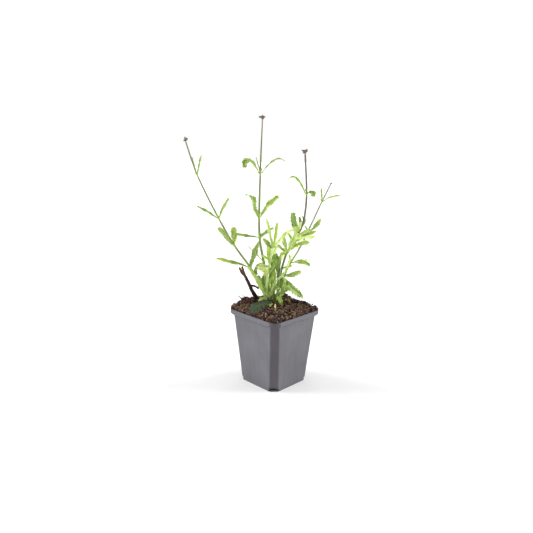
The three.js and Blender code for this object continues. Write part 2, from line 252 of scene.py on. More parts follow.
def rgb(colour):
    """Linear RGBA of an sRGB "#rrggbb"."""
    parts = [int(colour[i:i + 2], 16) / 255 for i in (1, 3, 5)]
    linear = [p / 12.92 if p <= 0.04045 else ((p + 0.055) / 1.055) ** 2.4 for p in parts]
    return (*linear, 1)


def floor_look():
    look = Look("floor_paper", Roughness=0.9)
    look.colour(look.ramp(look.noise(0.05), (0.3, "#f3f3f2"), (0.7, "#f7f7f6")))
    look.bump(look.noise(0.002), 0.0001)
    return look.material


def plastic_look():
    """Matt grey recycled plastic, with faint upright flow marks and a fine moulded grain. The flats
    across the pot's corners carry painted shade: their colour is darkened to stand in for the weaker
    light they get."""
    look = Look("pot_plastic", Specular_IOR_Level=0.45)
    flow = look.noise(6 * MM, 4, (1, 1, 0.08))
    cloud = look.noise(30 * MM, 2)
    both = look.plus(look.times(flow, 0.5), look.times(cloud, 0.5))
    grey = look.ramp(both, (0.3, "#58565c"), (0.5, "#5f5e64"), (0.7, "#67666d"))
    # The mask below marks the corner flats, whose colour is multiplied darker as painted shade for
    # the weaker light they get, not as a colour of the plastic.
    across = look.node("SeparateXYZ", Vector=look.place())
    sides = [look.math("ABSOLUTE", across.outputs[axis]) for axis in ("X", "Y")]
    lean = look.times(across.outputs["Z"], WALL_LEAN)
    nearness = look.math("SUBTRACT", look.math("MINIMUM", *sides), lean)
    corner = look.spread(nearness, 0.0, 1.0, ARC_MIDDLE + 0.8 * MM, ARC_MIDDLE + 1.8 * MM)
    look.colour(look.mix(corner, grey, look.mix(1.0, grey, "#dbd3db", "MULTIPLY")))
    look.roughness(1.2 * MM, 0.42, 0.6)
    look.bump(look.plus(look.noise(0.5 * MM, 2), look.times(flow, 1.5)), 0.06 * MM, 0.5)
    return look.material


def leaf_look(name, stops, vein_colour, under_colour):
    """A leaf blade: blotched green, paler along the veins and underneath, and thin enough to glow."""
    glow = {"Subsurface_Scale": 0.5 * MM, "Subsurface_Radius": (0.5, 1.0, 0.2)}
    look = Look(name, Subsurface_Weight=0.3, Specular_IOR_Level=0.35, **glow)
    veined = look.tint(look.toned(look.noise(5 * MM), 0.8, stops), "vein", 0.5, vein_colour)
    under = look.tint(veined, "under", 0.3, under_colour)
    specks = look.spread(look.noise(0.7 * MM), 0.0, 0.25, 0.45, 0.75)
    look.colour(look.mix(specks, under, stops[0][1]))
    look.roughness(1.5 * MM, 0.42, 0.62)
    net = look.math("MINIMUM", look.times(look.cells(0.7 * MM), 6.0), 1.0)
    look.bump(look.plus(net, look.noise(0.25 * MM, 2)), 0.05 * MM, 0.6)
    return look.material


def stem_look(name, foot, middle, top, joint_colour):
    """A ribbed stem, greener at its foot and its joints."""
    look = Look(name, Subsurface_Weight=0.1, Subsurface_Scale=0.4 * MM, Specular_IOR_Level=0.35)
    height = look.plus(look.value("along"), look.spread(look.noise(9 * MM), -0.12, 0.12))
    base = look.ramp(height, (0.05, foot), (0.5, middle), (0.95, top))
    look.colour(look.tint(look.tint(base, "rib", 0.35, foot), "joint", 0.8, joint_colour))
    look.roughness(0.8 * MM, 0.45, 0.65)
    look.bump(look.noise(0.4 * MM, 3, (1, 1, 0.25)), 0.08 * MM, 0.6)
    return look.material


def crumb_look(name, stops, rough=0.9, grain=0.35 * MM, stretch=(1, 1, 1)):
    """Loose dark matter: each crumb has its own tone, broken up by a finer grain."""
    look = Look(name, Specular_IOR_Level=0.25)
    look.colour(look.toned(look.noise(0.8 * MM, 4, stretch), 0.7, stops))
    look.roughness(1.1 * MM, rough - 0.15, min(rough + 0.08, 1))
    look.bump(look.noise(grain, 5, stretch), 0.3 * MM, 0.9)
    return look.material


# -------- shapes


class Shape:
    """Points, faces and per-point values that grow into one mesh."""

    def __init__(self):
        self.points = []
        self.faces = []
        self.values = {}
        self.count = 0

    def add(self, points, faces, **values):
        self.points.append(points)
        self.faces.extend(tuple(i + self.count for i in face) for face in faces)
        self.count += len(points)
        for key, value in values.items():
            spread = np.broadcast_to(np.asarray(value, float), len(points))
            self.values.setdefault(key, []).append(spread)

    def piece(self, name, look, slot, *replaced):
        mesh = bpy.data.meshes.new(name)
        mesh.from_pydata(np.concatenate(self.points).tolist(), [], self.faces)
        for key, parts in self.values.items():
            layer = mesh.attributes.new(key, "FLOAT", "POINT")
            layer.data.foreach_set("value", np.concatenate(parts).astype(np.float32))
        outward(mesh)
        settle(name, mesh, look, slot, *replaced)


def outward(mesh):
    """Turns all faces outwards and shades them smooth."""
    shell = bmesh.new()
    shell.from_mesh(mesh)
    bmesh.ops.recalc_face_normals(shell, faces=shell.faces)
    shell.to_mesh(mesh)
    shell.free()
    mesh.shade_smooth()


def settle(name, mesh, look, slot, *replaced):
    """Puts a mesh in the scene as a piece that rides on the frame and may replace CAD nodes."""
    piece = bpy.data.objects.new(name, mesh)
    bpy.context.scene.collection.objects.link(piece)
    mesh.materials.clear()
    mesh.materials.append(look)
    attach(piece, "root")
    if replaced:
        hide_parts(*replaced)
    return piece


def lumps(points, size, seed=0, octaves=3):
    """Smooth noise of about -1 to 1 at each point, with lumps `size` metres across."""
    shift = Vector((7.31, 3.17, 5.77)) * (seed + 1)
    return np.array([noise.fractal(Vector(p) / size + shift, 1.0, 2.0, octaves) for p in points])


def circle(around):
    """Evenly spaced angles, once round."""
    return np.arange(around) * 2 * math.pi / around


def polar(reach, angle, height):
    """Points at each angle, at its reach from the Z axis and at its height."""
    level = np.broadcast_to(height, angle.shape)
    return np.column_stack([reach * np.cos(angle), reach * np.sin(angle), level])


def unit(vectors):
    return vectors / np.linalg.norm(vectors, axis=-1, keepdims=True)


def tube(rings):
    """Points and faces of a closed solid through rings that have the same even number of points."""
    rings = np.asarray(rings)
    rows, around = rings.shape[:2]
    faces = []
    for row in range(rows - 1):
        for k in range(around):
            a, b = row * around + k, row * around + (k + 1) % around
            faces.append((a, b, b + around, a + around))
    for start in (0, (rows - 1) * around):
        for k in range(around // 2 - 1):
            faces.append((start + k, start + k + 1, start + around - 2 - k, start + around - 1 - k))
    return rings.reshape(-1, 3), faces


def on_curve(values, knots, at):
    """Values at the places `at`, on a smooth curve through the values at the knots."""
    values = np.asarray(values, float)
    slopes = np.gradient(values, knots, axis=0)
    i = np.clip(np.searchsorted(knots, at, side="right") - 1, 0, len(knots) - 2)
    width = knots[i + 1] - knots[i]
    t = (at - knots[i]) / width
    if values.ndim == 2:
        width, t = width[:, None], t[:, None]
    here = (2 * t**3 - 3 * t**2 + 1) * values[i] + (t**3 - 2 * t**2 + t) * width * slopes[i]
    there = (3 * t**2 - 2 * t**3) * values[i + 1] + (t**3 - t**2) * width * slopes[i + 1]
    return here + there


def lengths(points):
    """How far along the line each point lies."""
    steps = np.linalg.norm(np.diff(points, axis=0), axis=1)
    return np.concatenate([[0], np.cumsum(steps)])


def carried(along):
    """A unit vector across each direction of a line, carried along it without twist."""
    side = np.cross(along[0], (0, 0, 1) if abs(along[0][2]) < 0.9 else (1, 0, 0))
    sides = []
    for direction in along:
        side = side - direction * (side @ direction)
        side = side / np.linalg.norm(side)
        sides.append(side)
    return np.array(sides)


def round_rings(points, radius, around, shares=1.0):
    """Rings round a line. `shares` scales the radius at each place and angle."""
    along = unit(np.gradient(points, axis=0))
    side = carried(along)[:, None]
    other = np.cross(along, side[:, 0])[:, None]
    angle = circle(around)[None, :, None]
    reach = np.asarray(radius, float)[:, None] * np.ones(around) * shares
    return points[:, None] + (side * np.cos(angle) + other * np.sin(angle)) * reach[..., None]


# -------- reading the frame

WELD = 2e-6
STEM_SAMPLES = 600
STALK_START = 0.3  # a leaf starts this share of the way from its stem's midline to the CAD leaf
STALK_WIDTH = 0.9 * MM
BLADE_STEPS = 14


def rings_of(node, sides):
    """The rings that a CAD stem or leaf was drawn through, from one end to the other.

    The middle of each end is the only point with as many edges as a ring has points."""
    mesh = bmesh.new()
    mesh.from_mesh(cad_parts[node].data)
    bmesh.ops.remove_doubles(mesh, verts=mesh.verts, dist=WELD)
    mesh.verts.index_update()
    ends = sorted((v for v in mesh.verts if len(v.link_edges) == sides), key=lambda v: v.index)
    seen = {v.index for v in ends}
    ring, rings = ends[:1], []
    while ring:
        near = {e.other_vert(v) for v in ring for e in v.link_edges}
        ring = sorted((v for v in near if v.index not in seen), key=lambda v: v.index)
        seen.update(v.index for v in ring)
        if ring:
            rings.append(np.array([v.co for v in ring]))
    mesh.free()
    return rings


class Stem:
    """A CAD stem's midline, from its foot up."""

    def __init__(self, node):
        rings = rings_of(node, 8)
        if rings[0][:, 2].mean() > rings[-1][:, 2].mean():
            rings.reverse()
        middle = np.array([ring.mean(0) for ring in rings])
        radius = np.array([np.linalg.norm(r - m, axis=1).mean() for r, m in zip(rings, middle)])
        knots = lengths(middle)
        self.at = np.linspace(0, knots[-1], STEM_SAMPLES)
        self.line = on_curve(middle, knots, self.at)
        self.radius = on_curve(radius, knots, self.at)
        self.joints = []

    def nearest(self, point):
        """Index of the sample of the midline that is nearest to the point."""
        return int(np.argmin(np.linalg.norm(self.line - point, axis=1)))

    def at_height(self, height):
        return int(np.argmin(np.abs(self.line[:, 2] - height)))


STEMS = {n[len("stem_"):]: Stem(n) for n in sorted(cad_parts) if n.startswith("stem_")}
FEET = np.array([stem.line[0] for stem in STEMS.values()])
CROWN = FEET.mean(0)  # where the plant leaves the soil


class Blade:
    """A leaf's midrib, from its stalk out, with the way it faces and half its width there."""

    def __init__(self, midrib, face, half):
        self.midrib, self.face, self.half = np.array(midrib), np.array(face), np.array(half)

    def joined_to(self, start):
        """The same blade with its stalk drawn back to start."""
        first = self.midrib[0]
        self.midrib = np.vstack([start, (start + first) / 2, self.midrib])
        self.face = np.vstack([self.face[:1], self.face[:1], self.face])
        self.half = np.concatenate([self.half[:1], self.half[:1], self.half])
        return self

    def trim(self, width=1, length=1, spindle=0):
        """Changes the width, narrows both ends by the share `spindle`, and cuts the blade off
        short with a tip like the one it had."""
        kept = round(len(self.half) * length)
        ends = np.linspace(-1, 1, len(self.half)) ** 2
        self.half = self.half * (1 - spindle * ends)
        tip = self.half[-3:] * width
        self.midrib, self.face = self.midrib[:kept], self.face[:kept]
        self.half = self.half[:kept] * width
        self.half[-3:] = np.minimum(self.half[-3:], tip)


def blade_of(node):
    """A CAD leaf as a blade: the longest gap across each of its rings is the width there."""
    midrib, face, half = [], [], []
    for ring in rings_of(node, 4):
        gaps = np.linalg.norm(ring[:, None] - ring[None], axis=2)
        a, b = np.unravel_index(np.argmax(gaps), gaps.shape)
        top, under = (ring[k] for k in range(4) if k not in (a, b))
        middle = (top + under) / 2
        up = unit(top - under)
        edges = (ring[a] + ring[b]) / 2
        face.append(up if up @ (edges - middle) > 0 else -up)
        midrib.append(middle)
        half.append(gaps[a, b] / 2)
    return Blade(midrib, face, half)


def attached_blade(node):
    """A CAD leaf as a blade that starts at its own stem, or at the crown for a crown leaf."""
    blade = blade_of(node)
    stem = next((STEMS[s] for s in STEMS if node.startswith(f"leaf_{s}_")), None)
    line = stem.line if stem else CROWN[None]
    gaps = [np.linalg.norm(line - blade.midrib[end], axis=1).min() for end in (0, -1)]
    if gaps[1] < gaps[0]:
        blade = Blade(blade.midrib[::-1], blade.face[::-1], blade.half[::-1])
    foot = blade.midrib[0]
    if stem:
        i = stem.nearest(foot)
        stem.joints.append(stem.at[i])
        return blade.joined_to(stem.line[i] + (foot - stem.line[i]) * STALK_START)
    root = (foot + CROWN) / 2
    root[2] = soil_height(root[0], root[1]) - 1 * MM
    return blade.joined_to(root)


def grown_blade(start, turn, length, width, rise, droop=0, roll=None, sway=0, waist=1.3):
    """A blade that heads out at `turn` and `rise` degrees, bends down by droop and sideways by
    sway. Unless a roll is given, it turns its face towards the front of the plant. The higher
    its waist, the longer it stays as narrow as a stalk."""
    if roll is None:
        roll = 50 * math.cos(math.radians(turn))
    midrib, face, half = [np.array(start, float)], [], []
    for i in range(BLADE_STEPS + 1):
        share = i / BLADE_STEPS
        heading = math.radians(turn + PLANT_TURN + sway * share**2)
        climb = math.radians(rise - droop * share)
        side = np.array([-math.sin(heading), math.cos(heading), 0])
        out = np.array([math.cos(heading), math.sin(heading), 0]) * math.cos(climb)
        along = out + np.array([0, 0, math.sin(climb)])
        if i:
            midrib.append(midrib[-1] + along * length / BLADE_STEPS)
        up = Matrix.Rotation(math.radians(roll), 3, Vector(along)) @ Vector(np.cross(along, side))
        face.append(np.array(up))
        swell = math.sin(math.pi * min(share * 0.93, 0.97) ** waist) ** (0.58 * waist)
        stalk = STALK_WIDTH * (1 - share)
        half.append((stalk + (width - STALK_WIDTH) * swell + 0.2 * MM) / 2)
    return Blade(midrib, face, half)


# -------- soil surface

SOIL_LEVEL = 100.4 * MM
PAST_SOCKET = 4.5 * MM  # far enough to the side to miss a stem's socket
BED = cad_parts["soil"].data
BED_TREE = BVHTree.FromPolygons(
    [v.co.copy() for v in BED.vertices], [tuple(p.vertices) for p in BED.polygons]
)
# Heaps and hollows of the soil, in the plant's own frame: middle, rise and reach.
HEAPS = [
    ((12, 31), 3.2, 9),
    ((-40, 13), 3.4, 9),
    ((-27, 24), 3.0, 9),
    ((28, 24), -1.5, 9),
    ((43, 9), -0.6, 8),
    ((28, 4), 1.6, 6),
    ((-51, -2), 1.7, 7),
]


def from_plant(x, y):
    """A place in the plant's own frame, in millimetres, as X and Y in the pot's frame."""
    turn = math.radians(PLANT_TURN)
    return (
        (x * math.cos(turn) - y * math.sin(turn)) * MM,
        (x * math.sin(turn) + y * math.cos(turn)) * MM,
    )


def drop(tree, x, y):
    """The height of a surface at a place, or None where there is none."""
    hit = tree.ray_cast(Vector((x, y, 0.2)), Vector((0, 0, -1)))[0]
    return hit and hit.z


def bed_height(x, y):
    """The CAD soil's height, read past the sockets that the stems stand in."""
    steps = [(0, 0), (PAST_SOCKET, 0), (-PAST_SOCKET, 0), (0, PAST_SOCKET), (0, -PAST_SOCKET)]
    found = [drop(BED_TREE, x + dx, y + dy) for dx, dy in steps]
    found = [height for height in found if height and height > SOIL_LEVEL - 1 * MM]
    return float(np.median(found)) if found else SOIL_LEVEL


def soil_height(x, y):
    height = bed_height(x, y)
    for place, rise, reach in HEAPS:
        middle = from_plant(*place)
        far = math.dist((x, y), middle) / (reach * MM)
        height += rise * MM * math.exp(-far * far)
    return height


def over_soil(place, over):
    """A point `over` millimetres above the soil at a place in the plant's own frame."""
    x, y = from_plant(*place)
    return x, y, soil_height(x, y) + over * MM


# -------- pot

LIP_FOOT = 93 * MM
CORNER_FLAT = math.radians(37)  # the flat of a corner spans this much to each side
INNER_REACH = 33 * MM  # the outer wall's foot is further out than this, the inner wall's isn't
UPRIGHT_EDGE = 60 * MM  # only the corners' upright edges rise by more than this
FLAT_SPAN = math.pi / 6  # points this near to a corner's diagonal move onto its flat
EDGE_ANGLE = math.radians(24)  # edges sharper than this are eased


def flattened(x, y, z):
    """Moves a point of a round corner of the wall onto a flat across that corner."""
    middle = ARC_MIDDLE + WALL_LEAN * z
    dx, dy = abs(x) - middle, abs(y) - middle
    if min(dx, dy) < -1e-5 or z > LIP_FOOT:
        return x, y
    reach, angle = math.hypot(dx, dy), math.atan2(dy, dx)
    share = (angle - math.pi / 4) / FLAT_SPAN
    if abs(share) <= 1.001:
        turn = CORNER_FLAT * share
        reach *= math.cos(CORNER_FLAT) / math.cos(turn)
    else:
        past = (abs(share) - 1) * 2
        turn = math.copysign(CORNER_FLAT + (math.pi / 4 - CORNER_FLAT) * past, share)
    dx, dy = reach * math.cos(math.pi / 4 + turn), reach * math.sin(math.pi / 4 + turn)
    return math.copysign(middle + dx, x), math.copysign(middle + dy, y)


def pot():
    """The CAD pot with flatter corners, eased edges and smooth walls."""
    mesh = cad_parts["pot"].data.copy()
    shell = bmesh.new()
    shell.from_mesh(mesh)
    bmesh.ops.remove_doubles(shell, verts=shell.verts, dist=WELD)
    for v in shell.verts:
        v.co.x, v.co.y = flattened(*v.co)
    bmesh.ops.dissolve_limit(
        shell, angle_limit=math.radians(1), verts=shell.verts, edges=shell.edges
    )
    weight = shell.edges.layers.float.new("bevel_weight_edge")
    for edge in shell.edges:
        if edge.calc_face_angle(0) > EDGE_ANGLE:
            first, last = (v.co for v in edge.verts)
            outer = max(abs(first.x), abs(first.y)) > INNER_REACH
            edge[weight] = 1 if outer and abs(last.z - first.z) > UPRIGHT_EDGE else 0.25
    shell.to_mesh(mesh)
    shell.free()
    if "custom_normal" in mesh.attributes:
        mesh.attributes.remove(mesh.attributes["custom_normal"])
    mesh.shade_smooth()
    piece = settle("pot_shell", mesh, plastic_look(), "pot_plastic", "pot")
    ease = piece.modifiers.new("eased_edges", "BEVEL")
    ease.width = 1.4 * MM
    ease.segments = 4
    ease.limit_method = "WEIGHT"
    even = piece.modifiers.new("flat_faces", "WEIGHTED_NORMAL")
    even.keep_sharp = False


# -------- soil

# The soil's sides from the top down, in millimetres: height, and how far in from the top's edge.
SOIL_SIDES = [(96, 0.3), (94.2, 3.2), (50, 6.6), (8, 10.2), (7, 10.3), (6.9, 10.3), (2.5, 10.8)]
NOTCH = 22.9 * MM  # the pot's cut-away corners start here along X and Y
NOTCH_TOP = 7  # millimetres
BED_HALF = 44.6 * MM
BED_CORNER = 11.4 * MM
CRUMB_COUNT = 3200
CHIP_COUNT = 420
FIBRE_COUNT = 760


def square_reach(angle, half, corner):
    """How far a square with round corners reaches from its middle at each angle."""
    x, y = np.abs(np.cos(angle)), np.abs(np.sin(angle))
    flat = half / np.maximum(x, y)
    inner = half - corner
    dot = inner * (x + y)
    round_reach = dot + np.sqrt(np.maximum(dot**2 - 2 * inner**2 + corner**2, 0))
    on_corner = np.minimum(x, y) * flat > inner
    return np.where(on_corner, round_reach, flat)


def soil_bed():
    """The packed soil: a lumpy top, and sides and underside just inside the pot."""
    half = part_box("soil")[1].x - 0.1 * MM
    angle = circle(360)
    reach = square_reach(angle, half, 10.4 * MM)
    rings = []
    for share in np.linspace(0.004, 1, 100):
        flat = polar(reach * share, angle, 0)
        height = np.array([soil_height(x, y) for x, y, _ in flat])
        rough = 0.9 * MM * lumps(flat, 7 * MM, 1) + 0.7 * MM * lumps(flat, 2.4 * MM, 2)
        rough += 0.3 * MM * lumps(flat, 0.9 * MM, 3, 2)
        fade = 1 if share < 0.97 else 0.5
        height += rough * fade - 0.4 * MM
        rings.append(flat + height[:, None] * (0, 0, 1))
    past_notch = NOTCH / np.minimum(np.abs(np.cos(angle)), np.abs(np.sin(angle))).clip(1e-6)
    for height, inset in SOIL_SIDES:
        side = square_reach(angle, half - inset * MM, 13 * MM)
        if height < NOTCH_TOP:
            side = np.minimum(side, past_notch)
        rings.append(polar(side, angle, height * MM))
    rings.append(rings[-1] * (0.02, 0.02, 1))
    points, faces = tube(rings)
    shape = Shape()
    shape.add(points, faces, tone=0.28 + 0.22 * lumps(points, 5 * MM, 4))
    shape.piece("soil_bed", SOIL_LOOK, "soil", "soil")
    return BVHTree.FromPolygons(points.tolist(), faces)


def ground(x, y):
    """The height of the drawn soil, which everything loose lies on."""
    return drop(GROUND_TREE, x, y) or soil_height(x, y)


def lump_mesh(detail):
    """Points and faces of a ball that is 1 in radius."""
    ball = bmesh.new()
    bmesh.ops.create_icosphere(ball, subdivisions=detail, radius=1)
    points = np.array([v.co for v in ball.verts])
    faces = [tuple(v.index for v in f.verts) for f in ball.faces]
    ball.free()
    return points, faces


def spin(rng):
    """A random turn in space, as a 3 by 3 matrix."""
    return np.array(Quaternion(unit(rng.normal(size=4))).to_matrix())


def crumb(rng, ball, size, uneven, rough, i, seed):
    """A ball's points as lump number i: stretched by up to `uneven`, rough and turned."""
    stretch = rng.uniform(1 - uneven, 1 + uneven, 3) * size
    bumps = 1 + rough * lumps(ball + i, 0.8, seed)
    return (ball * bumps[:, None] * stretch) @ spin(rng).T


def on_bed(rng, far):
    """A random place on the bed, up to the share `far` of the way out to the lip."""
    angle = rng.uniform(0, 2 * math.pi)
    share = math.sqrt(rng.uniform(0, far**2))
    reach = float(square_reach(angle, BED_HALF, BED_CORNER)) * share
    return reach * math.cos(angle), reach * math.sin(angle)


def crumbs():
    """Lumps of peat, most of them small, heaped over the bed and a few on the lip."""
    rng = np.random.default_rng(11)
    balls = [lump_mesh(1), lump_mesh(2)]
    shape = Shape()
    for i in range(CRUMB_COUNT):
        x, y = on_bed(rng, 1.0 if i % 9 else 1.01)
        size = min(0.55 * math.exp(rng.normal(0, 0.45)), 2.2) * MM
        big = size > 0.9 * MM
        ball, faces = balls[big]
        points = crumb(rng, ball, size, 0.35, 0.48, i, i % 50)
        tone = rng.choice([0.02, 0.3, 0.6, 0.9], p=[0.38, 0.26, 0.22, 0.14])
        tone += rng.normal(0, 0.06) - 0.2 * big
        shape.add(points + (x, y, ground(x, y) + 0.15 * size), faces, tone=tone)
    shape.piece("soil_crumbs", SOIL_LOOK, "soil")


# Heaps of bigger lumps, in the plant's own frame: middle, reach, how many, size and tone.
CLODS = [
    ((27, 4), 5, 20, 2.3, 0.12),
    ((12, 31), 6, 24, 2.0, 0.16),
    ((-38, 14), 8, 26, 2.2, 0.42),
    ((-29, 5), 8, 24, 2.0, 0.36),
    ((3, -14), 8, 16, 1.7, 0.1),
    ((40, 8), 7, 16, 1.8, 0.3),
    ((-5, -38), 12, 14, 1.3, 0.35),
    ((-55, -2), 4, 24, 1.2, 0.8),
    ((-40, -13), 7, 14, 1.0, 0.7),
]


def clods():
    rng = np.random.default_rng(5)
    ball, faces = lump_mesh(2)
    shape = Shape()
    for middle, reach, count, size, tone in CLODS:
        for i in range(count):
            aside = rng.normal(0, reach * 0.5, 2)
            x, y = from_plant(*(middle + aside))
            bulk = size * rng.uniform(0.6, 1.3) * MM
            points = crumb(rng, ball, bulk, 0.3, 0.4, i, i + 60) * (1, 1, 0.8)
            place = (x, y, ground(x, y) + 0.3 * bulk)
            shape.add(points + place, faces, tone=tone + rng.normal(0, 0.05))
    shape.piece("soil_clods", CLOD_LOOK, "soil")


def chips():
    """Flat splinters of bark, lying every way."""
    rng = np.random.default_rng(23)
    shape = Shape()
    for _ in range(CHIP_COUNT):
        x, y = on_bed(rng, 0.99)
        length = rng.uniform(1.2, 4.2) * MM
        wide = length * rng.uniform(0.25, 0.6)
        thick = rng.uniform(0.25, 0.6) * MM
        bend = rng.uniform(-0.15, 0.15)
        rings = []
        for t in np.linspace(-0.5, 0.5, 6):
            taper = 1 - abs(2 * t) ** rng.uniform(2, 5) * rng.uniform(0.3, 0.8)
            w = wide / 2 * taper * rng.uniform(0.8, 1.15)
            h = thick / 2 * rng.uniform(0.8, 1.2)
            z = bend * length * 4 * t * t
            section = [(w, 0.6), (w * 0.3, 1), (-w, 0.5), (-w, -0.6), (-w * 0.2, -1), (w, -0.5)]
            rings.append([(t * length, across, z + h * up) for across, up in section])
        points, faces = tube(rings)
        lean = Matrix.Rotation(rng.normal(0, 0.45), 3, "Y")
        tilt = lean @ Matrix.Rotation(rng.normal(0, 0.5), 3, "X")
        turn = np.array(Matrix.Rotation(rng.uniform(0, 2 * math.pi), 3, "Z") @ tilt)
        place = (x, y, ground(x, y) + rng.uniform(0.1, 0.7) * MM)
        tone = rng.choice([0.15, 0.4, 0.75, 0.95], p=[0.4, 0.25, 0.2, 0.15])
        shape.add(points @ turn.T + place, faces, tone=tone + rng.normal(0, 0.05))
    shape.piece("soil_chips", BARK_LOOK, "soil")


STRAND_REACH = 46 * MM  # no strand lies further than this from the middle along X or Y
STRAND_TAPER = np.array([0.7, 1, 1, 0.95, 0.9, 0.8, 0.65, 0.3])


def strand(rng, start, heading, rise, length, radius, wander, around):
    """A thin bent strand that lies on the soil or stands a little out of it."""
    points = [np.array(start)]
    steps = len(STRAND_TAPER) - 1
    for _ in range(steps):
        heading += rng.normal(0, wander)
        rise += rng.normal(0, wander * 0.5) - 0.06
        out = math.cos(rise)
        step = np.array([out * math.cos(heading), out * math.sin(heading), math.sin(rise)])
        spot = points[-1] + step * length / steps
        spot[:2] = np.clip(spot[:2], -STRAND_REACH, STRAND_REACH)
        floor = ground(spot[0], spot[1]) + radius
        if spot[2] < floor:
            spot[2] = floor
            rise = max(rise, 0.05)
        points.append(spot)
    return tube(round_rings(np.array(points), radius * STRAND_TAPER, around))


def fibres():
    """Tan coir and root fibres."""
    rng = np.random.default_rng(31)
    shape = Shape()
    for _ in range(FIBRE_COUNT):
        x, y = on_bed(rng, 0.97)
        start = (x, y, ground(x, y) + rng.uniform(0.1, 0.8) * MM)
        length = rng.uniform(3, 11) * MM
        radius = rng.uniform(0.1, 0.26) * MM
        turn = rng.uniform(0, 2 * math.pi)
        rise = rng.normal(0.1, 0.2)
        points, faces = strand(rng, start, turn, rise, length, radius, 0.28, 4)
        shape.add(points, faces, tone=rng.uniform(0.25, 1.0))
    shape.piece("soil_fibres", FIBRE_LOOK, "soil")


# Bits of twig on the soil and dead stubs at the crown, in the plant's own frame:
# place, way, rise, length and thickness.
STICKS = [
    ((-42, 6), 172, 52, 11, 1.7),
    ((-37, 14), 196, 40, 9, 1.5),
    ((-33, 20), 20, 14, 9, 1.0),
    ((-44, -4), 185, 6, 8, 0.9),
    ((34, 12), 15, 10, 9, 0.9),
    ((20, -20), 70, 8, 8, 0.8),
    ((-10, -33), 20, 5, 9, 0.8),
    ((6, 36), 110, 20, 7, 1.2),
    ((46, -4), 30, 8, 7, 0.9),
    ((-8, -11), 100, 82, 17, 1.6),
    ((-6, -11), 60, 80, 13, 1.4),
    ((-5, -13), 120, 60, 8, 2.2),
]


def sticks():
    rng = np.random.default_rng(47)
    shape = Shape()
    for place, turn, rise, length, thick in STICKS:
        x, y = from_plant(*place)
        start = (x, y, ground(x, y) + 0.4 * MM)
        way = math.radians(turn + PLANT_TURN), math.radians(rise)
        points, faces = strand(rng, start, *way, length * MM, thick / 2 * MM, 0.12, 8)
        bumps = 0.12 * MM * lumps(points, 0.8 * MM, 9)
        shape.add(points + bumps[:, None], faces, tone=rng.uniform(0.1, 0.4))
    shape.piece("soil_sticks", BARK_LOOK, "dead_wood")


# -------- dead twig

TWIG_BEND = 0.45  # share of the twig's height below which it leans in towards the plant
TWIG_SHIFT = 3.5  # how many millimetres its foot is moved by that


def dead_twig():
    """The CAD twig remeshed, with grooved bark, knots and splintered ends."""
    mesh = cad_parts["dead_twig"].data.copy()
    body = bpy.data.objects.new("dead_twig_bark", mesh)
    bpy.context.scene.collection.objects.link(body)
    remesh = body.modifiers.new("even", "REMESH")
    remesh.mode = "VOXEL"
    remesh.voxel_size = 0.32 * MM
    depsgraph = bpy.context.evaluated_depsgraph_get()
    fine = bpy.data.meshes.new_from_object(body.evaluated_get(depsgraph), depsgraph=depsgraph)
    bpy.data.objects.remove(body)
    points = np.array([v.co for v in fine.vertices])
    normals = np.array([v.normal for v in fine.vertices])
    stretched = points * (1, 1, 0.22)
    bark = 0.32 * MM * lumps(stretched, 1.3 * MM, 3) + 0.25 * MM * lumps(points, 3.5 * MM, 8)
    low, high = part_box("dead_twig")
    height = (points[:, 2] - low.z) / (high.z - low.z)
    below_fork = np.clip((TWIG_BEND - height) / TWIG_BEND, 0, 1)
    bark += (0.7 + 0.6 * below_fork) * MM
    torn = np.clip((height - 0.93) / 0.07, 0, 1)
    bark -= torn * 0.35 * MM * (0.6 + lumps(stretched, 0.7 * MM, 6))
    points = points + normals * bark[:, None]
    points = points + below_fork[:, None] * (*from_plant(TWIG_SHIFT, 0), 0)
    fine.vertices.foreach_set("co", points.astype(np.float32).ravel())
    layer = fine.attributes.new("tone", "FLOAT", "POINT")
    tone = 0.12 + 0.75 * np.clip(height - 0.35, 0, 1) + 0.12 * lumps(stretched, 2 * MM, 5)
    layer.data.foreach_set("value", np.clip(tone, 0, 1).astype(np.float32))
    fine.shade_smooth()
    settle("dead_twig_bark", fine, TWIG_LOOK, "dead_wood", "dead_twig")


# -------- leaves

ROW = 0.5 * MM
COLUMNS = 9  # strips on each side of the midrib
VEIN_SLANT = 0.9  # veins lean forwards at about 45 degrees
BLUNT = 0.22  # how bluntly a leaf ends, from pointed (0) to round (1)


